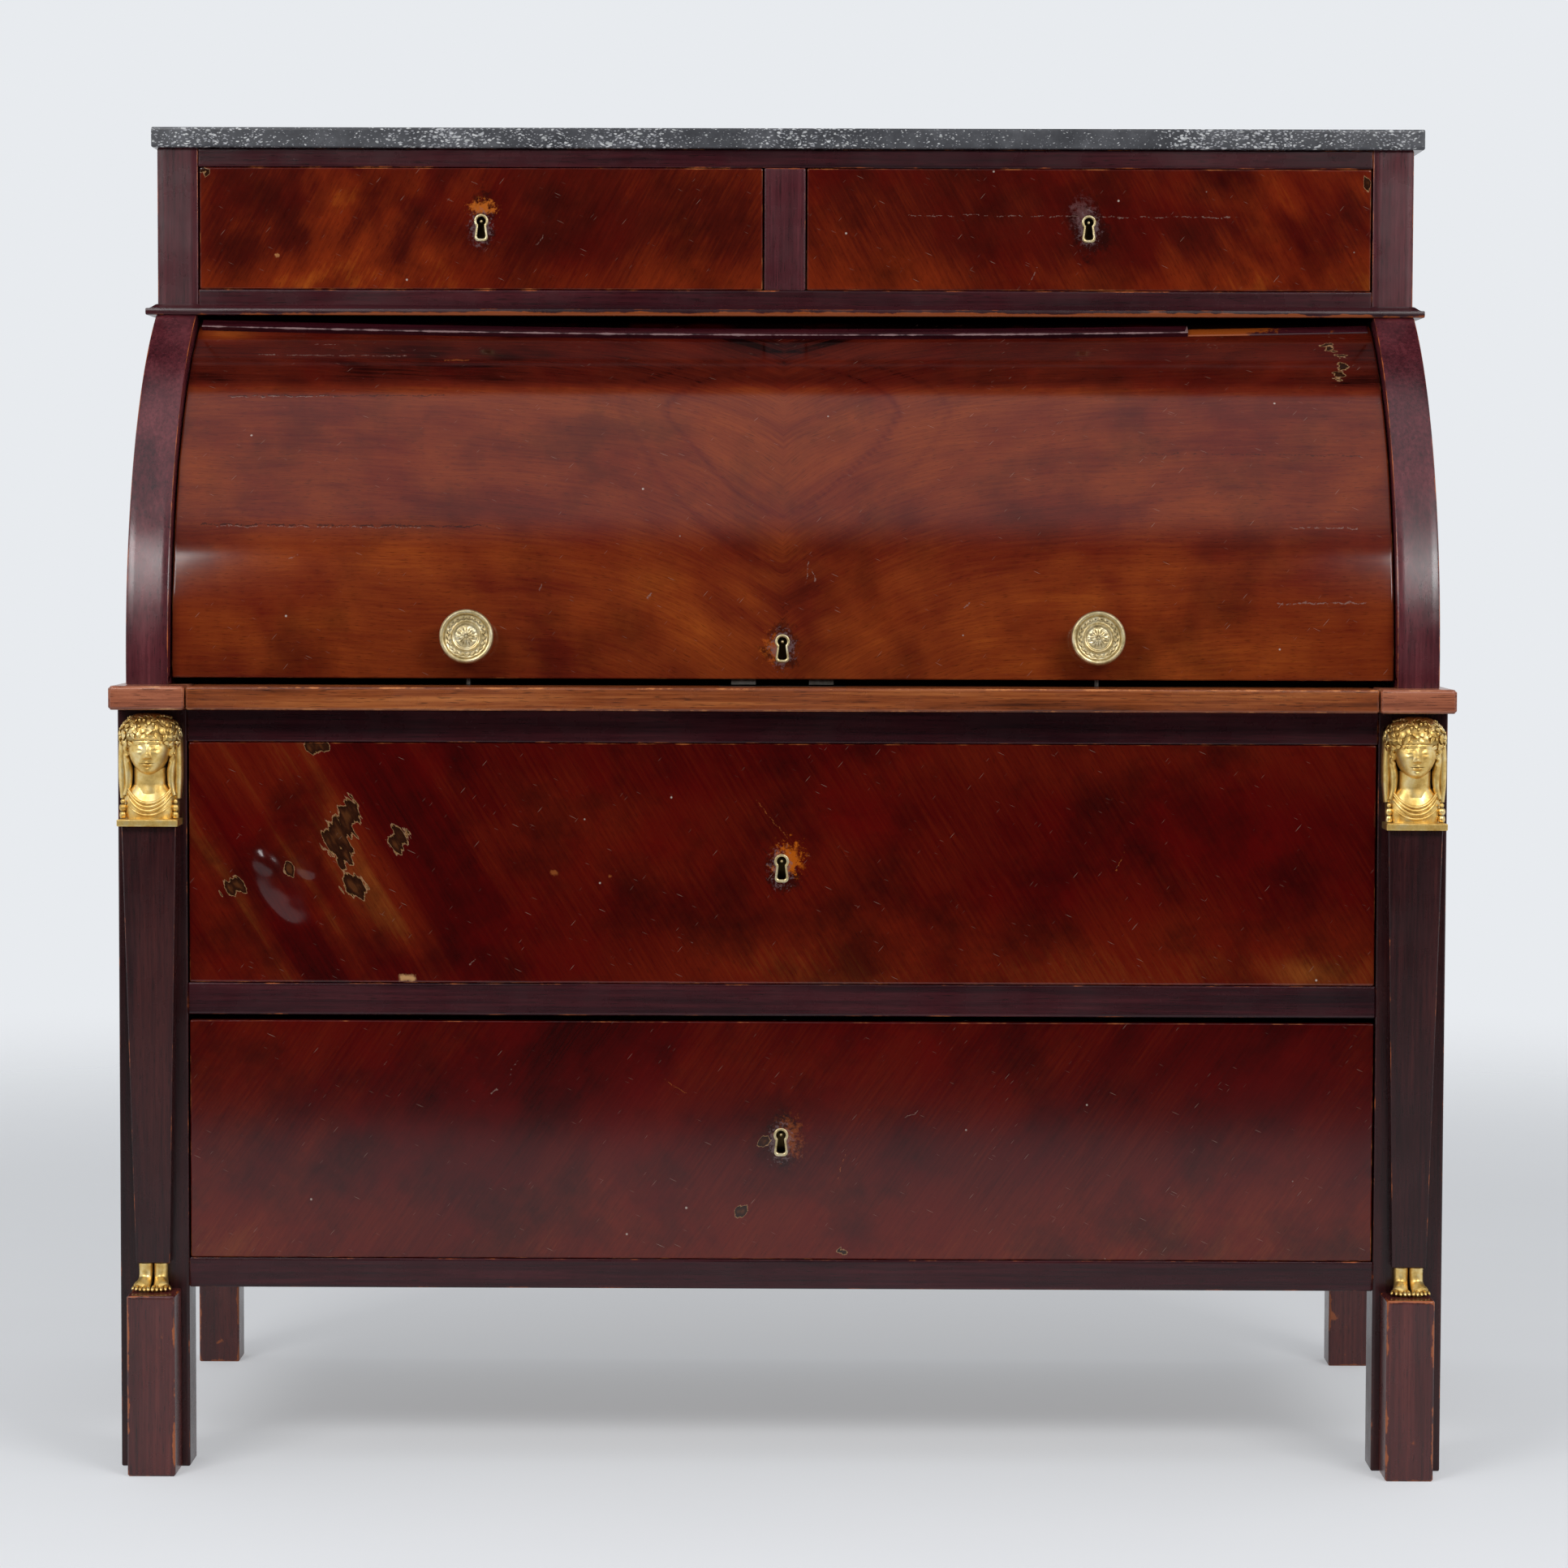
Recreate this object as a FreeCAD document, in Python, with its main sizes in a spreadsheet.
import FreeCAD, Part
import Sketcher
import os
import re

# Empire cylinder bureau: a two-drawer lower case on four legs, a writing slide, a quarter-round fall that
# turns up under two small drawers, and a marble top. Millimetres. +X is right as seen from the front,
# +Y is to the back, +Z is up, and the origin is on the floor under the middle of the piece.

# Driving sizes
SIZES = {
    # Lower case
    "case_width": 1295.0,
    "case_depth": 583.0,
    "leg_clearance": 178.0,
    "post_width": 67.5,
    "post_depth": 45.0,
    "rear_post_width": 44.0,
    "rear_post_depth": 43.0,
    "bottom_rail_height": 29.0,
    "bottom_opening_height": 239.8,
    "middle_rail_height": 31.0,
    "top_opening_height": 235.7,
    "frieze_rail_height": 32.3,
    "side_thickness": 18.0,
    "side_inset": 7.5,
    "back_thickness": 12.0,
    "back_inset": 11.0,
    "floor_board": 12.0,
    "dust_board_thickness": 9.8,
    "bed_thickness": 15.0,
    "runner_width": 62.0,
    "guide_height": 22.0,
    # Pilasters and mounts
    "plinth_projection": 48.0,
    "plinth_width": 46.5,
    "plinth_height": 177.0,
    "plinth_shift": 2.75,
    "foot_height": 26.0,
    "foot_spread": 8.4,
    "ankle_radius": 7.6,
    "heel_radius": 8.4,
    "toe_length": 19.0,
    "toe_width": 9.4,
    "toe_height": 14.3,
    "toe_shift": 6.3,
    "shaft_foot_width": 33.0,
    "shaft_foot_depth": 13.0,
    "shaft_head_width": 53.0,
    "shaft_head_depth": 26.0,
    "bust_height": 112.0,
    "bust_gap": 1.0,
    "bust_plate_height": 6.5,
    "bust_plate_width": 59.0,
    "bust_plate_depth": 36.0,
    "chest_height": 30.0,
    "chest_width": 52.0,
    "chest_depth": 27.0,
    "chest_top_width": 47.0,
    "chest_top_depth": 19.0,
    "neck_radius": 12.0,
    "neck_root_radius": 14.4,
    "neck_height": 46.0,
    "head_width": 35.0,
    "head_height": 54.0,
    "head_reach": 36.0,
    "head_lift": 35.0,
    "hair_width": 60.0,
    "hair_height": 56.0,
    "hair_reach": 22.0,
    "hair_setback": 9.0,
    "hair_lift": 8.0,
    "wreath_radius": 25.0,
    "wreath_tube": 7.5,
    "wreath_lift": 16.0,
    "tress_width": 9.0,
    "tress_depth": 15.0,
    # Sills and writing slide
    "sill_height": 23.2,
    "sill_overhang": 2.5,
    "sill_projection": 43.0,
    "sill_chamfer": 4.0,
    "sill_cover": 3.5,
    "slide_side_gap": 1.5,
    "slide_rear_gap": 109.0,
    "slide_drop": 0.3,
    "slide_chamfer": 3.0,
    "leather_side_margin": 55.0,
    "leather_margin": 7.0,
    "leather_rear_gap": 0.5,
    "leather_thickness": 1.5,
    "strike_half_width": 62.0,
    "strike_depth": 24.0,
    "strike_thickness": 3.0,
    "slot_spare": 2.0,
    # Cheeks and upper case
    "cheek_inset": 8.3,
    "cheek_thickness": 41.5,
    "cheek_radius": 402.0,
    "cheek_lead": 1.0,
    "axis_height": 17.5,
    "waist_drop": 50.5,
    "waist_step": 13.6,
    "moulding_height": 12.0,
    "moulding_projection": 16.0,
    "moulding_return": 10.3,
    "moulding_fillet": 7.0,
    "moulding_quirk": 3.4,
    "upper_rail_height": 15.0,
    "upper_rail_depth": 19.4,
    "upper_rail_foot": 4.4,
    "upper_rail_bevel": 22.0,
    "upper_rail_lift": 2.0,
    "upper_opening_height": 124.0,
    "top_rail_height": 19.0,
    "top_rail_depth": 34.0,
    "centre_stile_width": 42.0,
    "ledge_depth": 13.0,
    "ledge_lap": 3.0,
    "upper_floor_thickness": 6.0,
    "partition_thickness": 18.0,
    "top_board_thickness": 12.0,
    "upper_back_thickness": 10.0,
    "upper_back_inset": 7.0,
    "marble_thickness": 20.5,
    "marble_overhang": 7.5,
    "marble_front": 8.0,
    "marble_shift": 2.5,
    # Fall
    "fall_recess": 14.0,
    "fall_thickness": 18.0,
    "fall_end_gap": 1.5,
    "fall_gap": 6.5,
    "fall_top_angle": 67.0,
    "batten_thickness": 5.0,
    "batten_low_angle": 59.5,
    "batten_high_angle": 62.5,
    "batten_margin": 4.0,
    "sweep_clearance": 1.5,
    "arm_thickness": 5.0,
    "arm_gap": 3.7,
    "arm_width": 30.0,
    "arm_angle": 33.0,
    "arm_foot_width": 24.0,
    "arm_foot_thickness": 6.0,
    "arm_foot_angle": 30.0,
    "hub_clearance": 3.5,
    "pin_radius": 5.0,
    "pin_clearance": 0.05,
    "pin_depth": 20.0,
    "pin_head_lip": 4.0,
    "pin_head_thickness": 2.0,
    "pin_play": 0.6,
    "pin_plate_clearance": 2.5,
    "pin_plate_thickness": 2.5,
    "knob_centre": 306.0,
    "knob_angle": 4.2,
    "knob_radius": 26.5,
    "knob_reach": 36.0,
    "knob_rim": 3.5,
    "knob_neck": 8.0,
    "knob_flange": 13.0,
    "knob_flange_edge": 2.0,
    "knob_throat_low": 5.0,
    "knob_throat_high": 18.0,
    "knob_cup": 24.5,
    "knob_edge": 29.0,
    "knob_round": 1.0,
    "stop_pin_centre": 307.0,
    "stop_pin_radius": 2.5,
    "stop_pin_depth": 18.0,
    "stop_pin_gap": 0.5,
    "hook_centre": 38.0,
    "hook_width": 24.0,
    "hook_top_gap": 0.3,
    "hook_depth": 7.0,
    "hook_gap": 1.5,
    "hook_throw": 7.0,
    "shank_width": 10.0,
    "shank_depth": 4.0,
    "shank_length": 24.0,
    "fall_key_height": 36.6,
    "fall_lock_width": 110.0,
    "fall_lock_height": 52.0,
    "fall_lock_depth": 12.0,
    "fall_lock_lift": 1.4,
    "fall_bore_spare": 9.0,
    "drill_pin_root": 2.0,
    # Drawers
    "side_gap": 1.7,
    "run_gap": 0.3,
    "front_gap": 0.5,
    "sag_gap": 5.8,
    "front_thickness": 20.0,
    "upper_front_thickness": 18.0,
    "drawer_rear_gap": 55.0,
    "upper_drawer_rear_gap": 26.4,
    "drawer_side": 12.0,
    "drawer_bottom": 8.0,
    "drawer_rebate": 4.0,
    "box_drop": 14.0,
    "guide_gap": 1.0,
    "lower_key_offset": 4.0,
    "upper_key_offset": 1.0,
    # Locks
    "lock_case_width": 70.0,
    "lock_case_depth": 12.0,
    "lock_case_below": 32.0,
    "lock_case_top_gap": 10.0,
    "bolt_width": 14.0,
    "bolt_thickness": 5.0,
    "bolt_play": 0.4,
    "bolt_top_gap": 1.0,
    "mortise_depth": 11.0,
    "plate_radius": 7.3,
    "plate_tail": 20.7,
    "plate_neck_width": 9.6,
    "plate_foot_width": 13.6,
    "plate_depth": 2.5,
    "plate_proud": 0.3,
    "plate_lift": 6.7,
    "keyhole_radius": 4.6,
    "keyhole_tail": 17.6,
    "keyhole_neck_width": 5.0,
    "keyhole_foot_width": 8.6,
    "drill_pin_radius": 1.6,
    "drill_pin_inset": 3.0,
    # Inner fitment
    "fitment_lead": 136.0,
    "fitment_rear_gap": 18.0,
    "fitment_side_gap": 14.7,
    "fitment_board": 8.0,
    "fitment_back": 6.0,
    "fitment_drawer_height": 90.0,
    "fitment_headroom": 120.0,
    "small_gap": 0.5,
    "small_front": 10.0,
    "small_side": 6.0,
    "small_knob_foot": 4.8,
    "small_knob_neck": 4.0,
    "small_knob_neck_height": 6.0,
    "small_knob_radius": 8.0,
    "small_knob_swell": 10.5,
    "small_knob_top": 6.4,
    "small_knob_reach": 15.0,
}

# Planes and places that follow from the driving sizes
LEVELS = {
    "front": "-(case_depth - plinth_projection) / 2",
    "back": "front + case_depth",
    "half": "case_width / 2",
    "post_inner": "half - post_width",
    "side_outer": "half - side_inset",
    "side_inner": "side_outer - side_thickness",
    "rail_back": "front + post_depth",
    "rear_post_front": "back - rear_post_depth",
    "rear_post_inner": "half - rear_post_width",
    "panel_back": "back - back_inset",
    "panel_front": "panel_back - back_thickness",
    "bottom_opening": "leg_clearance + bottom_rail_height",
    "middle_rail_low": "bottom_opening + bottom_opening_height",
    "top_opening": "middle_rail_low + middle_rail_height",
    "frieze_low": "top_opening + top_opening_height",
    "case_top": "frieze_low + frieze_rail_height",
    "sill_top": "case_top + sill_height",
    "sill_front": "front - sill_projection",
    "sill_outer": "half + sill_overhang",
    "sill_inner": "post_inner - sill_cover",
    "slide_half": "sill_inner - slide_side_gap",
    "slide_rear": "upper_panel_front - slide_rear_gap",
    "leather_half": "slide_half - leather_side_margin",
    "slide_top": "sill_top - slide_drop",
    "leather_front": "fall_middle + strike_depth / 2 + leather_margin",
    "cheek_outer": "half - cheek_inset",
    "cheek_inner": "cheek_outer - cheek_thickness",
    "waist": "axis_z + waist_rise",
    "upper_rail_low": "waist + moulding_height",
    "upper_opening": "upper_rail_low + upper_rail_height",
    "top_rail_low": "upper_opening + upper_opening_height",
    "upper_top": "top_rail_low + top_rail_height",
    "axis_y": "front + cheek_radius - cheek_lead",
    "axis_z": "sill_top + axis_height",
    "waist_rise": "cheek_radius - waist_drop",
    "waist_reach": "sqrt(cheek_radius * cheek_radius - waist_rise * waist_rise)",
    "upper_front": "axis_y - waist_reach + waist_step",
    "moulding_front": "upper_front - moulding_projection",
    "moulding_outer": "cheek_outer + moulding_return",
    "upper_panel_back": "back - upper_back_inset",
    "upper_panel_front": "upper_panel_back - upper_back_thickness",
    "fall_radius": "cheek_radius - fall_recess",
    "fall_inside": "fall_radius - fall_thickness",
    "batten_radius": "fall_radius + batten_thickness",
    "fall_half": "cheek_inner - fall_end_gap",
    "fall_low_angle": "asin((fall_gap - axis_height) / fall_radius)",
    "fall_front": "axis_y - fall_radius",
    "fall_middle": "fall_front + fall_thickness / 2",
    "upper_floor_low": "axis_z + batten_radius + sweep_clearance",
    "upper_floor": "upper_floor_low + upper_floor_thickness",
    "ledge_front": "upper_front + upper_rail_depth",
    "stile_half": "centre_stile_width / 2",
    "upper_key_x": "(stile_half + cheek_inner) / 2",
    "drawer_rear": "panel_front - drawer_rear_gap",
    "upper_drawer_rear": "upper_panel_front - upper_drawer_rear_gap",
    "stile_back": "upper_front + top_rail_depth",
    "arm_outer": "cheek_inner - arm_gap",
    "arm_inner": "arm_outer - arm_thickness",
    "arm_hub": "axis_height - hub_clearance",
    "pin_head": "pin_radius + pin_head_lip",
    "pin_plate": "axis_height - pin_plate_clearance",
    "pilaster_centre": "half - post_width / 2",
    "plinth_centre": "pilaster_centre - plinth_shift",
    "shaft_low": "plinth_height + foot_height",
    "bust_top": "case_top - bust_gap",
    "bust_low": "bust_top - bust_height",
    "chest_low": "bust_low + bust_plate_height",
    "head_middle": "chest_low + chest_height + head_lift",
    "fitment_front": "axis_y - fitment_lead",
    "fitment_rear": "upper_panel_front - fitment_rear_gap",
    "fitment_half": "cheek_inner - fitment_side_gap",
    "small_low": "sill_top + fitment_board",
    "shelf_low": "small_low + fitment_drawer_height",
    "hole_low": "shelf_low + fitment_board",
    "hole_high": "upper_floor_low - fitment_headroom",
}

# How near an edge lies to a face to count as on it
TOLERANCE = 0.01

# How many bays the inner fitment has
DRAWER_BAYS = 3
PIGEONHOLES = 6

# Turns that lay a bar, made upright, along an axis
TURNS = {"x": "rotationy(90deg)", "y": "rotationx(-90deg)", "z": "rotationz(0deg)"}

document = FreeCAD.newDocument("cylinder_bureau")
sheet = document.addObject("Spreadsheet::Sheet", "Sizes")
for row, (alias, size) in enumerate(SIZES.items(), start=1):
    sheet.set(f"A{row}", alias)
    sheet.set(f"B{row}", str(size))
    sheet.setAlias(f"B{row}", alias)
document.recompute()

nodes = {}


def formula(text):
    """Spell a formula out in the sheet's own cell names."""

    def spell(match):
        word = match.group(0)
        if word in LEVELS:
            return "(" + formula(LEVELS[word]) + ")"
        if word in SIZES:
            return "Sizes." + word
        return word

    return re.sub(r"[a-z][a-z_]*", spell, text)


def bind(item, **sizes):
    """Tie an object's sizes to formulas."""
    for size, text in sizes.items():
        item.setExpression(size, formula(text))
    return item


def place(item, x, y, z, turn=TURNS["z"]):
    """Put an object's own origin at a point, turned."""
    item.setExpression("Placement", formula(f"placement(vector({x}; {y}; {z}); {turn})"))
    return item


def board(name, x, y, z):
    """A squared board between two planes along each axis."""
    item = document.addObject("Part::Box", name)
    sides = [f"({high}) - ({low})" for low, high in (x, y, z)]
    bind(item, Length=sides[0], Width=sides[1], Height=sides[2])
    return place(item, x[0], y[0], z[0])


def rod(name, axis, start, radius, length):
    """A round bar from a point along an axis."""
    item = document.addObject("Part::Cylinder", name)
    bind(item, Radius=radius, Height=length)
    return place(item, *start, TURNS[axis])


def sector(name, x, radius, low, high):
    """A slice of a drum on the fall's axis, between two angles up from the front."""
    item = document.addObject("Part::Cylinder", name)
    bind(item, Radius=radius, Height=f"({x[1]}) - ({x[0]})", Angle=f"({high}) - ({low})")
    return place(item, x[0], "axis_y", "axis_z", f"rotationx(270deg - ({high})) * {TURNS['x']}")


def drum(name, x, radius):
    """A whole drum on the fall's axis."""
    return rod(name, "x", (x[0], "axis_y", "axis_z"), radius, f"({x[1]}) - ({x[0]})")


def oval(name, x, y, z, half_width, half_depth, half_height):
    """A whole ellipsoid about a point."""
    item = document.addObject("Part::Ellipsoid", name)
    bind(item, Radius1=half_height, Radius2=half_width, Radius3=half_depth)
    item.Angle1 = -90
    return place(item, x, y, z)


def cone(name, x, y, z, low_radius, high_radius, height):
    """An upright cone frustum standing on a point."""
    item = document.addObject("Part::Cone", name)
    bind(item, Radius1=low_radius, Radius2=high_radius, Height=height)
    return place(item, x, y, z)


def taper(name, x, rear, z, low, high):
    """A tapering block with its back on a plane across Y; low and high are width and depth at its ends."""
    item = document.addObject("Part::Wedge", name)
    bind(item, Xmin=f"-({low[0]}) / 2", Xmax=f"({low[0]}) / 2", Zmin="0", Zmax=low[1])
    bind(item, X2min=f"-({high[0]}) / 2", X2max=f"({high[0]}) / 2", Z2min="0", Z2max=high[1])
    bind(item, Ymin="0", Ymax=f"({z[1]}) - ({z[0]})")
    return place(item, x, rear, z[0], "rotationx(90deg)")


def fuse(name, items):
    """One solid from several."""
    item = document.addObject("Part::MultiFuse", name)
    item.Shapes = items
    item.Refine = True
    return item


def cut(name, base, tools):
    """A solid with others taken out of it."""
    item = document.addObject("Part::Cut", name)
    item.Base = base
    item.Tool = tools[0] if len(tools) == 1 else fuse(name + "_tools", tools)
    return item


def common(name, base, tool):
    """What two solids share."""
    item = document.addObject("Part::Common", name)
    item.Base = base
    item.Tool = tool
    return item


def group(name, items):
    """Several separate solids of one kind, kept side by side."""
    item = document.addObject("Part::Compound", name)
    item.Links = items
    return item


def node(name, item):
    """Name a finished sub-part for its file."""
    item.Label = name
    nodes[name] = item
    return item


def draw(body, name, plane, corners):
    """A sketch of straight lines on one of a body's own planes, each corner tied to two formulas."""
    sketch = body.newObject("Sketcher::SketchObject", name)
    support = [feature for feature in body.Origin.OriginFeatures if feature.Role == plane][0]
    sketch.AttachmentSupport = (support, "")
    sketch.MapMode = "FlatFace"
    count = len(corners)
    start = [FreeCAD.Vector(1, 0, 0)]
    for _ in range(count - 1):
        start.append(FreeCAD.Rotation(FreeCAD.Vector(0, 0, 1), 360.0 / count).multVec(start[-1]))
    for index in range(count):
        sketch.addGeometry(Part.LineSegment(start[index], start[(index + 1) % count]))
    for index in range(count):
        sketch.addConstraint(Sketcher.Constraint("Coincident", index, 2, (index + 1) % count, 1))
    for index, corner in enumerate(corners):
        for kind, now, text in zip(("DistanceX", "DistanceY"), start[index], corner):
            tie = sketch.addConstraint(Sketcher.Constraint(kind, -1, 1, index, 1, now))
            sketch.setExpression(f"Constraints[{tie}]", formula(text))
    return sketch


def profiled(name, axis, span, corners):
    """A length of moulding: a section of (y, z) or (x, z) corners carried along X or Y."""
    body = document.addObject("PartDesign::Body", name)
    plane, offset = {"x": ("YZ_Plane", span[0]), "y": ("XZ_Plane", f"-({span[1]})")}[axis]
    sketch = draw(body, name + "_section", plane, corners)
    sketch.setExpression("AttachmentOffset.Base.z", formula(offset))
    pad = body.newObject("PartDesign::Pad", name + "_pad")
    pad.Profile = sketch
    bind(pad, Length=f"({span[1]}) - ({span[0]})")
    return body


def chamfered(name, x, y, z, size, edge_test):
    """A board whose chosen edges are planed off."""
    body = document.addObject("PartDesign::Body", name)
    corners = [(x[0], y[0]), (x[1], y[0]), (x[1], y[1]), (x[0], y[1])]
    sketch = draw(body, name + "_outline", "XY_Plane", corners)
    sketch.setExpression("AttachmentOffset.Base.z", formula(z[0]))
    pad = body.newObject("PartDesign::Pad", name + "_pad")
    pad.Profile = sketch
    bind(pad, Length=f"({z[1]}) - ({z[0]})")
    document.recompute()
    box = pad.Shape.BoundBox
    chosen = [f"Edge{i}" for i, edge in enumerate(pad.Shape.Edges, start=1) if edge_test(edge.BoundBox, box)]
    chamfer = body.newObject("PartDesign::Chamfer", name + "_chamfer")
    chamfer.Base = (pad, chosen)
    bind(chamfer, Size=size)
    return body


def turned(name, corners):
    """A piece turned on a lathe: a section of (radius, height) corners spun about its own Z axis."""
    body = document.addObject("PartDesign::Body", name)
    sketch = draw(body, name + "_section", "XZ_Plane", corners)
    spin = body.newObject("PartDesign::Revolution", name + "_turn")
    spin.Profile = sketch
    spin.ReferenceAxis = (sketch, ["V_Axis"])
    spin.Angle = 360
    return body


def both_sides(name, make):
    """A left and a right piece; make gets a name and a function that mirrors a span of X."""
    right = make(name + "_right", lambda low, high: (low, high))
    left = make(name + "_left", lambda low, high: (f"-({high})", f"-({low})"))
    return node(name, group(name, [left, right]))


def keyhole_form(name, kind, x, y, z):
    """A round head with a tail that widens downwards, through a thickness along Y; kind names its sizes."""
    thickness = f"({y[1]}) - ({y[0]})"
    head = rod(name + "_head", "y", (x, y[0], z), kind + "_radius", thickness)
    stem = taper(name + "_stem", x, y[1], (f"{z} - {kind}_tail", z), (kind + "_foot_width", thickness),
                 (kind + "_neck_width", thickness))
    return fuse(name, [head, stem])


def key_plate(name, x, face, z):
    """A brass keyhole lining, let into a face and standing a little proud of it."""
    span = (f"{face} - plate_proud", f"{face} + plate_depth")
    blank = keyhole_form(name + "_blank", "plate", x, span, z)
    return cut(name, blank, [keyhole_form(name + "_hole", "keyhole", x, span, z)])


def key_cuts(name, x, face, thickness, z):
    """The seat of a keyhole lining and the keyhole behind it."""
    seat = (face, f"{face} + plate_depth")
    through = (face, f"{face} + ({thickness})")
    return [keyhole_form(name + "_seat", "plate", x, seat, z),
            keyhole_form(name + "_through", "keyhole", x, through, z)]


def open_box(name, x, y, z, wall, floor):
    """A drawer's sides, back and bottom, as separate boards behind its front."""
    inner = (f"{x[0]} + {wall}", f"{x[1]} - {wall}")
    bottom = (f"{z[0]} + {floor[0]}", f"{z[0]} + {floor[0]} + {floor[1]}")
    return [
        board(name + "_side_left", (x[0], inner[0]), y, z),
        board(name + "_side_right", (inner[1], x[1]), y, z),
        board(name + "_back", inner, (f"{y[1]} - {wall}", y[1]), z),
        board(name + "_bottom", inner, (y[0], f"{y[1]} - {wall}"), bottom),
    ]


def lock_drawer(name, x, face, thickness, end, z, box_low, key_x, key_z):
    """A drawer with a keyed front, a box, a lock and a bolt that shoots up out of the lock."""
    rear = f"{face} + ({thickness})"
    blank = board(name + "_blank", x, (face, rear), z)
    node(name + "_front", cut(name + "_front", blank, key_cuts(name, key_x, face, thickness, key_z)))

    sides = (f"{x[0]} + guide_gap", f"{x[1]} - guide_gap")
    walls = open_box(name, sides, (rear, end), (box_low, f"{z[1]} - box_drop"),
                     "drawer_side", ("drawer_rebate", "drawer_bottom"))
    node(name + "_box", group(name + "_box", walls))

    case_rear = f"{rear} + lock_case_depth"
    case_top = f"{z[1]} - lock_case_top_gap"
    case_x = (f"{key_x} - lock_case_width / 2", f"{key_x} + lock_case_width / 2")
    case = board(name + "_case", case_x, (rear, case_rear), (f"{key_z} - lock_case_below", case_top))
    bolt_y = f"{rear} + lock_case_depth / 2"
    bolt_low = f"{key_z} + keyhole_radius"
    channel_x = (f"{key_x} - bolt_width / 2 - bolt_play", f"{key_x} + bolt_width / 2 + bolt_play")
    channel_y = (f"{bolt_y} - bolt_thickness / 2 - bolt_play", f"{bolt_y} + bolt_thickness / 2 + bolt_play")
    channel = board(name + "_channel", channel_x, channel_y, (f"{bolt_low} - bolt_play", case_top))
    pin_start = f"{face} + drill_pin_inset"
    drill_pin = rod(name + "_drill_pin", "y", (key_x, pin_start, key_z), "drill_pin_radius",
                    f"{thickness} - drill_pin_inset")
    plate = key_plate(name + "_key_plate", key_x, face, key_z)
    node(name + "_lock", group(name + "_lock", [cut(name + "_lock_case", case, [channel]), drill_pin, plate]))

    bolt_x = (f"{key_x} - bolt_width / 2", f"{key_x} + bolt_width / 2")
    bolt_span = (f"{bolt_y} - bolt_thickness / 2", f"{bolt_y} + bolt_thickness / 2")
    node(name + "_bolt", board(name + "_bolt", bolt_x, bolt_span, (bolt_low, f"{z[1]} - bolt_top_gap")))


def mortise(name, key_x, face, thickness, low):
    """The pocket in a rail that a drawer bolt shoots into."""
    middle = f"{face} + {thickness} + lock_case_depth / 2"
    x = (f"{key_x} - bolt_width / 2 - bolt_play", f"{key_x} + bolt_width / 2 + bolt_play")
    y = (f"{middle} - bolt_thickness / 2 - bolt_play", f"{middle} + bolt_thickness / 2 + bolt_play")
    return board(name, x, y, (low, f"{low} + mortise_depth"))


# Lower case frame
both_sides("front_posts", lambda name, span: board(
    name, span("post_inner", "half"), ("front", "rail_back"), ("0", "case_top")))
both_sides("rear_posts", lambda name, span: board(
    name, span("rear_post_inner", "half"), ("rear_post_front", "back"), ("0", "case_top")))
both_sides("lower_sides", lambda name, span: board(
    name, span("side_inner", "side_outer"), ("rail_back", "rear_post_front"),
    ("leg_clearance", "case_top")))
node("lower_back", board("lower_back", ("-rear_post_inner", "rear_post_inner"), ("panel_front", "panel_back"),
                         ("leg_clearance", "case_top")))

rail_x = ("-post_inner", "post_inner")
rail_y = ("front", "rail_back")
middle_blank = board("middle_blank", rail_x, rail_y, ("middle_rail_low", "top_opening"))
frieze_blank = board("frieze_blank", rail_x, rail_y, ("frieze_low", "case_top"))
node("bottom_rail", board("bottom_rail", rail_x, rail_y, ("leg_clearance", "bottom_opening")))
node("middle_rail", cut("middle_rail", middle_blank, [
    mortise("middle_mortise", "0", "front", "front_thickness", "middle_rail_low")]))
node("frieze_rail", cut("frieze_rail", frieze_blank, [
    mortise("frieze_mortise", "0", "front", "front_thickness", "frieze_low")]))

lane_y = ("rail_back", "rear_post_front")


def inner_board(name, z):
    """A board across the case, with a tongue between the rear posts to the back panel."""
    wide = board(name + "_wide", ("-side_inner", "side_inner"), lane_y, z)
    tongue_x = ("-rear_post_inner", "rear_post_inner")
    tongue = board(name + "_tongue", tongue_x, ("rear_post_front", "panel_front"), z)
    return node(name, fuse(name, [wide, tongue]))


inner_board("bottom_board", ("leg_clearance", "leg_clearance + floor_board"))
inner_board("dust_board", ("top_opening - dust_board_thickness", "top_opening"))
inner_board("slide_bed", ("case_top - bed_thickness", "case_top"))


def runner(name, span, low, top):
    """A drawer runner against the case side, with the guide strip that keeps the drawer straight."""
    rest = board(name + "_rest", span("side_inner - runner_width", "side_inner"), lane_y, (low, top))
    guide_x = span("post_inner - side_gap", "side_inner")
    guide = board(name + "_guide", guide_x, lane_y, (top, f"{top} + guide_height"))
    return fuse(name, [rest, guide])


def dust_guide(name, span):
    """A guide strip on the dust board, with the bearer that carries the board below it."""
    guide_x = span("post_inner - side_gap", "side_inner")
    guide = board(name + "_guide", guide_x, lane_y, ("top_opening", "top_opening + guide_height"))
    bearer_z = ("middle_rail_low", "top_opening - dust_board_thickness")
    bearer = board(name + "_bearer", span("side_inner - runner_width", "side_inner"), lane_y, bearer_z)
    return group(name, [guide, bearer])


both_sides("drawer_runners", lambda name, span: runner(
    name, span, "leg_clearance + floor_board", "bottom_opening"))
both_sides("dust_board_bearers", dust_guide)

# Pilasters with gilt bronze busts and feet
both_sides("pilaster_plinths", lambda name, span: board(
    name, span("plinth_centre - plinth_width / 2", "plinth_centre + plinth_width / 2"),
    ("front - plinth_projection", "front"), ("0", "plinth_height")))


def middle_of(span, centre):
    """The X of a mirrored centre line."""
    low, high = span(centre, centre)
    return low


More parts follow.
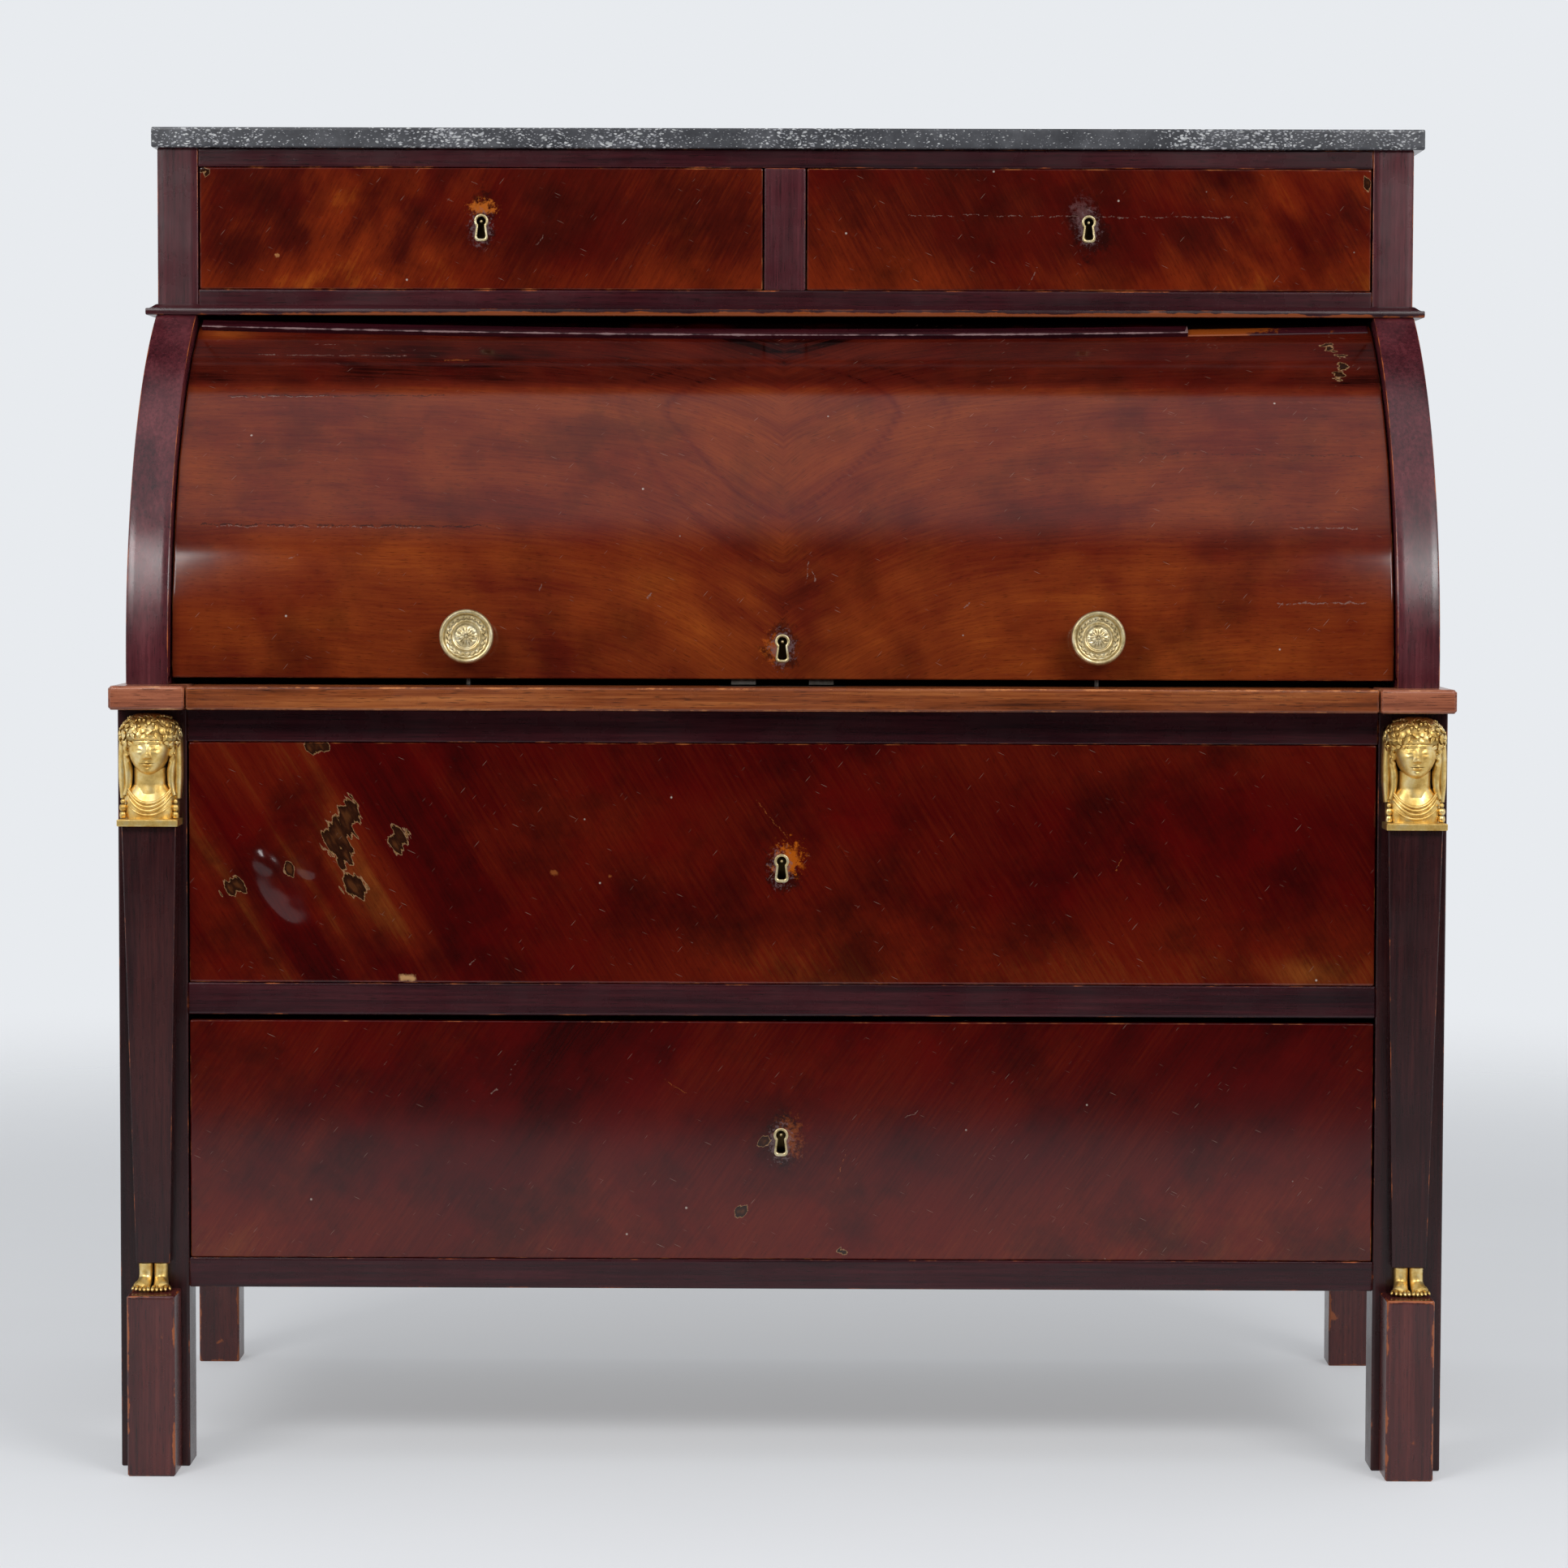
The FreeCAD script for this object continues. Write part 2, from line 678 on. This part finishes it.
both_sides("pilaster_shafts", lambda name, span: taper(
    name, middle_of(span, "pilaster_centre"), "front", ("shaft_low", "bust_low"),
    ("shaft_foot_width", "shaft_foot_depth"), ("shaft_head_width", "shaft_head_depth")))


def bronze_feet(name, span):
    """A pair of bare feet side by side on a plinth, carrying the shaft."""
    middle = middle_of(span, "pilaster_centre")
    parts = []
    for key, shift in (("inner", "-foot_spread"), ("outer", "foot_spread")):
        x = f"{middle} + {shift}"
        parts.append(cone(f"{name}_{key}_ankle", x, "front - ankle_radius", "plinth_height",
                          "heel_radius", "ankle_radius", "foot_height"))
        parts.append(oval(f"{name}_{key}_toes", x, "front - ankle_radius - toe_shift", "plinth_height",
                          "toe_width", "toe_length", "toe_height"))
    keep = board(name + "_keep", (f"{middle} - plinth_width / 2", f"{middle} + plinth_width / 2"),
                 ("front - plinth_projection", "front"), ("plinth_height", "shaft_low"))
    return common(name, fuse(name + "_form", parts), keep)


def bronze_bust(name, span):
    """A classical bust against the post: plate, draped chest, neck, head, hanging hair and a wreath."""
    x = middle_of(span, "pilaster_centre")
    head_y = "front - head_reach / 2"
    plate = board(name + "_plate", (f"{x} - bust_plate_width / 2", f"{x} + bust_plate_width / 2"),
                  ("front - bust_plate_depth", "front"), ("bust_low", "chest_low"))
    chest = taper(name + "_chest", x, "front", ("chest_low", "chest_low + chest_height"),
                  ("chest_width", "chest_depth"), ("chest_top_width", "chest_top_depth"))
    neck = cone(name + "_neck", x, "front - chest_depth / 2", "chest_low", "neck_root_radius",
                "neck_radius", "neck_height")
    head = oval(name + "_head", x, head_y, "head_middle", "head_width / 2", "head_reach / 2",
                "head_height / 2")
    hair = oval(name + "_hair", x, "front - hair_setback", "head_middle + hair_lift",
                "hair_width / 2", "hair_reach", "hair_height / 2")
    wreath = document.addObject("Part::Torus", name + "_wreath")
    bind(wreath, Radius1="wreath_radius", Radius2="wreath_tube")
    place(wreath, x, "front - hair_setback", "head_middle + wreath_lift")
    tresses = []
    for key, low, high in (("a", "-hair_width / 2", "tress_width - hair_width / 2"),
                           ("b", "hair_width / 2 - tress_width", "hair_width / 2")):
        lane = (f"{x} + {low}", f"{x} + {high}")
        tresses.append(board(f"{name}_tress_{key}", lane, ("front - tress_depth", "front"),
                             ("chest_low", "head_middle")))
    form = fuse(name + "_form", [plate, chest, neck, head, hair, wreath] + tresses)
    keep = board(name + "_keep", (f"{x} - post_width / 2", f"{x} + post_width / 2"),
                 ("front - plinth_projection", "front"), ("bust_low", "bust_top"))
    return common(name, form, keep)


both_sides("bronze_feet", bronze_feet)
both_sides("bronze_busts", bronze_bust)


# Sills and writing slide
def sill(name, span):
    """A side sill on the case, planed off along its front and outer top edges."""
    x = span("sill_inner", "sill_outer")
    outer_is_low = name.endswith("left")

    def planed(edge, whole):
        on_top = edge.ZMin > whole.ZMax - TOLERANCE
        at_front = edge.YMax < whole.YMin + TOLERANCE
        at_low = edge.XMax < whole.XMin + TOLERANCE
        at_high = edge.XMin > whole.XMax - TOLERANCE
        return on_top and (at_front or (at_low if outer_is_low else at_high))

    return chamfered(name, x, ("sill_front", "back"), ("case_top", "sill_top"), "sill_chamfer", planed)


both_sides("side_sills", sill)

slide_blank = chamfered(
    "slide_blank", ("-slide_half", "slide_half"), ("sill_front", "slide_rear"),
    ("case_top + run_gap", "slide_top"), "slide_chamfer",
    lambda edge, whole: edge.ZMin > whole.ZMax - TOLERANCE and edge.YMax < whole.YMin + TOLERANCE)
leather_x = ("-leather_half", "leather_half")
leather_y = ("leather_front", "fitment_front - leather_rear_gap")
leather_z = ("slide_top - leather_thickness", "slide_top")
strike_x = ("-strike_half_width", "strike_half_width")
strike_y = ("fall_middle - strike_depth / 2", "fall_middle + strike_depth / 2")
strike_z = ("slide_top - strike_thickness", "slide_top")


def hook_slots(name, depth):
    """The two slots that the fall's hooks drop into."""
    y = ("fall_middle - hook_depth / 2 - hook_gap", "fall_middle + hook_depth / 2 + hook_gap")
    slots = []
    for key, centre in (("left", "-hook_centre"), ("right", "hook_centre")):
        x = (f"{centre} - hook_width / 2 - hook_gap", f"{centre} + hook_width / 2 + hook_gap")
        slots.append(board(f"{name}_{key}", x, y, (f"slide_top - {depth}", "slide_top")))
    return slots


slide_cuts = [board("leather_seat", leather_x, leather_y, leather_z),
              board("strike_seat", strike_x, strike_y, strike_z)]
slide_cuts += hook_slots("slide_slot", "(hook_throw - hook_gap + slot_spare)")
node("slide_panel", cut("slide_panel", slide_blank, slide_cuts))
node("slide_leather", board("slide_leather", leather_x, leather_y, leather_z))
strike_blank = board("strike_blank", strike_x, strike_y, strike_z)
node("slide_strike", cut("slide_strike", strike_blank, hook_slots("strike_slot", "strike_thickness")))


# Cheeks and upper case
def cheek(name, span):
    """A side of the upper case: quarter round up to the waist, set back and straight above it."""
    x = span("cheek_inner", "cheek_outer")
    low = ("sill_top", "waist")
    nose = common(name + "_nose", board(name + "_nose_blank", x, ("axis_y - cheek_radius", "axis_y"), low),
                  drum(name + "_round", x, "cheek_radius"))
    form = fuse(name + "_form", [
        nose,
        board(name + "_rear", x, ("axis_y", "back"), low),
        board(name + "_upper", x, ("upper_front", "back"), ("waist", "upper_top")),
    ])
    hole_x = span("cheek_inner", "cheek_inner + pin_depth")
    return cut(name, form, [drum(name + "_pin_hole", hole_x, "pin_radius")])


both_sides("cheeks", cheek)
between_x = ("-cheek_inner", "cheek_inner")
node("upper_back", board("upper_back", between_x, ("upper_panel_front", "upper_panel_back"),
                         ("sill_top", "upper_top")))

rail_foot = "waist + upper_rail_lift"
node("upper_bottom_rail", profiled("upper_bottom_rail", "x", between_x, [
    ("upper_front", rail_foot), ("upper_front + upper_rail_foot", rail_foot),
    ("ledge_front", rail_foot + " + upper_rail_bevel"), ("ledge_front", "upper_opening"),
    ("upper_front", "upper_opening")]))
node("upper_ledge", board("upper_ledge", between_x, ("ledge_front", "ledge_front + ledge_depth"),
                          ("upper_opening - ledge_lap", "upper_floor_low")))
node("upper_floor", board("upper_floor", between_x, ("ledge_front", "upper_panel_front"),
                          ("upper_floor_low", "upper_floor")))
top_blank = board("top_blank", between_x, ("upper_front", "stile_back"), ("top_rail_low", "upper_top"))
node("upper_top_rail", cut("upper_top_rail", top_blank, [
    mortise("top_mortise_left", "-upper_key_x", "upper_front", "upper_front_thickness", "top_rail_low"),
    mortise("top_mortise_right", "upper_key_x", "upper_front", "upper_front_thickness", "top_rail_low")]))
stile_x = ("-stile_half", "stile_half")
node("upper_centre_stile", fuse("upper_centre_stile", [
    board("stile_face", stile_x, ("upper_front", "ledge_front"), ("upper_opening", "top_rail_low")),
    board("stile_rear", stile_x, ("ledge_front", "stile_back"), ("upper_floor", "top_rail_low"))]))
upper_y = ("stile_back", "upper_panel_front")
top_board_low = "upper_top - top_board_thickness"
node("upper_partition", board("upper_partition", ("-partition_thickness / 2", "partition_thickness / 2"),
                              upper_y, ("upper_floor", top_board_low)))
both_sides("upper_guides", lambda name, span: board(
    name, span("partition_thickness / 2", "stile_half + side_gap"), upper_y,
    ("upper_floor", "upper_floor + guide_height")))
node("upper_top_board", board("upper_top_board", between_x, upper_y, (top_board_low, "upper_top")))

fillet_top = "waist + moulding_fillet"
mouldings = [profiled("front_moulding", "x", ("-moulding_outer", "moulding_outer"), [
    ("moulding_front", "waist"), ("upper_front", "waist"), ("upper_front", "upper_rail_low"),
    ("upper_front - moulding_quirk", "upper_rail_low"), ("moulding_front", fillet_top)])]
for side, sign in (("left", "-"), ("right", "")):
    mouldings.append(profiled(f"moulding_{side}", "y", ("upper_front", "back"), [
        (f"{sign}moulding_outer", "waist"), (f"{sign}cheek_outer", "waist"),
        (f"{sign}cheek_outer", "upper_rail_low"), (f"{sign}(cheek_outer + moulding_quirk)", "upper_rail_low"),
        (f"{sign}moulding_outer", fillet_top)]))
node("waist_moulding", group("waist_moulding", mouldings))
marble_half = "cheek_outer + marble_overhang"
marble_x = (f"marble_shift - ({marble_half})", f"marble_shift + {marble_half}")
node("marble_top", board("marble_top", marble_x, ("upper_front - marble_front", "back"),
                         ("upper_top", "upper_top + marble_thickness")))


def pivot(name, span):
    """A pin driven into the cheek, with a plate against the wood and a head that keeps the arm on."""
    head_x = span("arm_inner - pin_play - pin_head_thickness", "arm_inner - pin_play")
    pin_x = span("arm_inner - pin_play", "cheek_inner + pin_depth")
    plate_x = span("cheek_inner - pin_plate_thickness", "cheek_inner")
    return fuse(name, [drum(name + "_head", head_x, "pin_head"), drum(name + "_pin", pin_x, "pin_radius"),
                       drum(name + "_plate", plate_x, "pin_plate")])


both_sides("pivot_pins", pivot)

# Fall
fall_x = ("-fall_half", "fall_half")
high_angle = "fall_top_angle * 1deg"
drum_blank = sector("fall_blank", fall_x, "fall_radius", "fall_low_angle", high_angle)
drum_hollow = drum("fall_hollow", fall_x, "fall_inside")
fall_ring = cut("fall_ring", drum_blank, [drum_hollow])
key_x = "0"
key_z = "sill_top + fall_key_height + plate_lift"
key_face = "fall_front"
shank_top = "sill_top + fall_gap + shank_length"
fall_cuts = key_cuts("fall", key_x, key_face, "fall_thickness + fall_bore_spare", key_z)
shank_y = ("fall_middle - shank_depth / 2 - bolt_play", "fall_middle + shank_depth / 2 + bolt_play")
for side, centre in (("left", "-1"), ("right", "1")):
    slot_middle = f"{centre} * hook_centre"
    slot_x = (f"{slot_middle} - shank_width / 2 - bolt_play", f"{slot_middle} + shank_width / 2 + bolt_play")
    fall_cuts.append(board(f"shank_slot_{side}", slot_x, shank_y, ("sill_top", f"{shank_top} + bolt_play")))
    pin_place = (f"{centre} * stop_pin_centre", "fall_middle", "sill_top")
    fall_cuts.append(rod(f"stop_pin_hole_{side}", "z", pin_place, "stop_pin_radius",
                         "fall_gap + stop_pin_depth"))
node("fall_shell", cut("fall_shell", fall_ring, fall_cuts))
batten_x = ("batten_margin - fall_half", "fall_half - batten_margin")
batten_blank = sector("batten_blank", batten_x, "batten_radius", "batten_low_angle * 1deg",
                      "batten_high_angle * 1deg")
node("fall_batten", cut("fall_batten", batten_blank, [drum("batten_hollow", batten_x, "fall_radius")]))


def fall_arm(name, span):
    """An iron arm from the pivot to the fall, with a curved foot screwed inside the fall."""
    x = span("arm_inner", "arm_outer")
    bar = document.addObject("Part::Box", name + "_bar")
    bind(bar, Length="arm_thickness", Width="arm_width", Height="fall_radius")
    swing = "arm_angle * 1deg - 90deg"
    lean = f"rotationx(-({swing}))"
    shift = "arm_width / 2"
    place(bar, x[0], f"axis_y - {shift} * cos({swing})", f"axis_z + {shift} * sin({swing})", lean)
    inside = drum(name + "_inside", x, "fall_inside")
    foot_x = span("arm_outer - arm_foot_width", "arm_outer")
    low = "(arm_angle - arm_foot_angle / 2) * 1deg"
    high = "(arm_angle + arm_foot_angle / 2) * 1deg"
    foot = cut(name + "_foot", sector(name + "_foot_blank", foot_x, "fall_inside", low, high),
               [drum(name + "_foot_hollow", foot_x, "fall_inside - arm_foot_thickness")])
    hub = drum(name + "_hub", x, "arm_hub")
    form = fuse(name + "_form", [common(name + "_strip", bar, inside), foot, hub])
    return cut(name, form, [drum(name + "_eye", x, "pin_radius + pin_clearance")])


both_sides("fall_arms", fall_arm)


def pull_knob(name, span):
    """A turned brass knob on the fall: flange, neck and a broad head with a rim round a sunk face."""
    face = "knob_reach - knob_rim"
    knob = turned(name, [
        ("0", "0"), ("knob_flange", "0"), ("knob_flange", "knob_flange_edge"),
        ("knob_neck", "knob_throat_low"), ("knob_neck", "knob_throat_high"),
        ("knob_radius - knob_rim", "knob_cup"), ("knob_radius", "knob_edge"),
        ("knob_radius", "knob_reach - knob_round"), ("knob_radius - knob_round", "knob_reach"),
        ("knob_radius - knob_rim", "knob_reach"), ("knob_radius - knob_rim - knob_round", face),
        ("0", face)])
    outward = "knob_angle * 1deg"
    return place(knob, middle_of(span, "knob_centre"), f"axis_y - fall_radius * cos({outward})",
                 f"axis_z + fall_radius * sin({outward})", f"rotationx(90deg - {outward})")


both_sides("fall_knobs", pull_knob)
stop_pin_foot = "slide_top + stop_pin_gap"
both_sides("fall_stop_pins", lambda name, span: rod(
    name, "z", (middle_of(span, "stop_pin_centre"), "fall_middle", stop_pin_foot), "stop_pin_radius",
    f"sill_top + fall_gap + stop_pin_depth - ({stop_pin_foot})"))
lock_x = ("-fall_lock_width / 2", "fall_lock_width / 2")
lock_low = "sill_top + fall_gap + fall_lock_lift"
lock_blank = board("fall_lock_blank", lock_x, ("fall_front", "fall_front + fall_thickness + fall_lock_depth"),
                   (lock_low, f"{lock_low} + fall_lock_height"))
fall_lock_case = common("fall_lock_case", lock_blank, drum("fall_lock_limit", fall_x, "fall_inside"))
drill_pin_rod = rod("fall_drill_pin_rod", "y", (key_x, "fall_front + drill_pin_inset", key_z),
                    "drill_pin_radius", "fall_thickness + drill_pin_root - drill_pin_inset")
fall_drill_pin = cut("fall_drill_pin", drill_pin_rod, [drum("drill_pin_limit", fall_x, "fall_inside")])
fall_key_plate = key_plate("fall_key_plate", key_x, key_face, key_z)
node("fall_lock", group("fall_lock", [fall_lock_case, fall_drill_pin, fall_key_plate]))
hooks = []
for side, centre in (("left", "-hook_centre"), ("right", "hook_centre")):
    hook_x = (f"{centre} - hook_width / 2", f"{centre} + hook_width / 2")
    hook_y = ("fall_middle - hook_depth / 2", "fall_middle + hook_depth / 2")
    hook_z = ("slide_top + hook_gap", "sill_top + fall_gap - hook_top_gap")
    shank_x = (f"{centre} - shank_width / 2", f"{centre} + shank_width / 2")
    shank_span = ("fall_middle - shank_depth / 2", "fall_middle + shank_depth / 2")
    hooks.append(fuse(f"hook_{side}", [
        board(f"hook_{side}_foot", hook_x, hook_y, hook_z),
        board(f"hook_{side}_shank", shank_x, shank_span, (hook_z[1], shank_top))]))
node("fall_hooks", group("fall_hooks", hooks))

# Drawers with locks
lower_x = ("side_gap - post_inner", "post_inner - side_gap")
lock_drawer("lower_drawer", lower_x, "front", "front_thickness", "drawer_rear",
            ("bottom_opening + front_gap", "middle_rail_low - sag_gap"), "bottom_opening + run_gap", "0",
            "bottom_opening + bottom_opening_height / 2 - lower_key_offset + plate_lift")
lock_drawer("middle_drawer", lower_x, "front", "front_thickness", "drawer_rear",
            ("top_opening + front_gap", "frieze_low - front_gap"), "top_opening + run_gap", "0",
            "top_opening + top_opening_height / 2 - lower_key_offset + plate_lift")
upper_z = ("upper_opening + front_gap", "top_rail_low - front_gap")
upper_key_z = "upper_opening + upper_opening_height / 2 + upper_key_offset + plate_lift"
upper_left = ("side_gap - cheek_inner", "-stile_half - side_gap")
upper_right = ("stile_half + side_gap", "cheek_inner - side_gap")
for name, lane, centre in (("upper_left_drawer", upper_left, "-upper_key_x"),
                           ("upper_right_drawer", upper_right, "upper_key_x")):
    lock_drawer(name, lane, "upper_front", "upper_front_thickness", "upper_drawer_rear", upper_z,
                "upper_floor + run_gap", centre, upper_key_z)

# Inner fitment: small drawers below, pigeonholes above
fitment_x = ("-fitment_half", "fitment_half")
fitment_y = ("fitment_front", "fitment_rear")
clear_x = ("fitment_board - fitment_half", "fitment_half - fitment_board")
fitment = [
    board("fitment_base", fitment_x, fitment_y, ("sill_top", "small_low")),
    board("fitment_shelf", clear_x, fitment_y, ("shelf_low", "hole_low")),
    board("fitment_top", fitment_x, fitment_y, ("hole_high", "hole_high + fitment_board")),
    board("fitment_panel", clear_x, ("fitment_rear - fitment_back", "fitment_rear"),
          ("hole_low", "hole_high")),
]
for side, lane in (("left", (fitment_x[0], clear_x[0])), ("right", (clear_x[1], fitment_x[1]))):
    fitment.append(board("fitment_end_" + side, lane, fitment_y, ("small_low", "hole_high")))
clear_width = "2 * (fitment_half - fitment_board)"


def bay(count, index):
    """The clear span of one bay out of several equal ones between the fitment's ends."""
    width = f"(({clear_width} - {count - 1} * fitment_board) / {count})"
    low = f"{clear_x[0]} + {index} * ({width} + fitment_board)"
    return low, f"{low} + {width}"


for count, key, zone, depth in ((DRAWER_BAYS, "drawer", ("small_low", "shelf_low"), fitment_y),
                                (PIGEONHOLES, "hole", ("hole_low", "hole_high"),
                                 ("fitment_front", "fitment_rear - fitment_back"))):
    for index in range(1, count):
        low = bay(count, index)[0]
        fitment.append(board(f"fitment_{key}_divider_{index}", (f"{low} - fitment_board", low), depth, zone))
node("fitment_case", group("fitment_case", fitment))

for index, key in enumerate(("left", "centre", "right")):
    name = f"small_drawer_{key}"
    low, high = bay(DRAWER_BAYS, index)
    x = (f"{low} + small_gap", f"{high} - small_gap")
    z = ("small_low + run_gap", "shelf_low - small_gap")
    face = board(name + "_face", x, ("fitment_front", "fitment_front + small_front"), z)
    walls = open_box(name, x, ("fitment_front + small_front", "fitment_rear - fitment_back"),
                     (z[0], f"{z[1]} - small_side"), "small_side", ("small_gap", "small_side"))
    grip = turned(name + "_grip", [
        ("0", "0"), ("small_knob_foot", "0"), ("small_knob_neck", "small_knob_neck_height"),
        ("small_knob_radius", "small_knob_swell"), ("small_knob_top", "small_knob_reach"),
        ("0", "small_knob_reach")])
    place(grip, f"({low} + {high}) / 2", "fitment_front", "(small_low + shelf_low) / 2", "rotationx(90deg)")
    node(name, group(name, [face, grip] + walls))

document.recompute()
for item in document.Objects:
    if "Invalid" in item.State or "Error" in item.State:
        raise RuntimeError(f"{item.Name} did not rebuild: {item.State}")
for name, item in nodes.items():
    if item.Shape.isNull() or not item.Shape.isValid() or not item.Shape.Solids:
        raise RuntimeError(f"{name} has no sound solid")
os.makedirs("parts", exist_ok=True)
for name, item in nodes.items():
    item.Shape.exportStep(f"parts/{name}.step")
print(len(nodes), "sub-parts written")
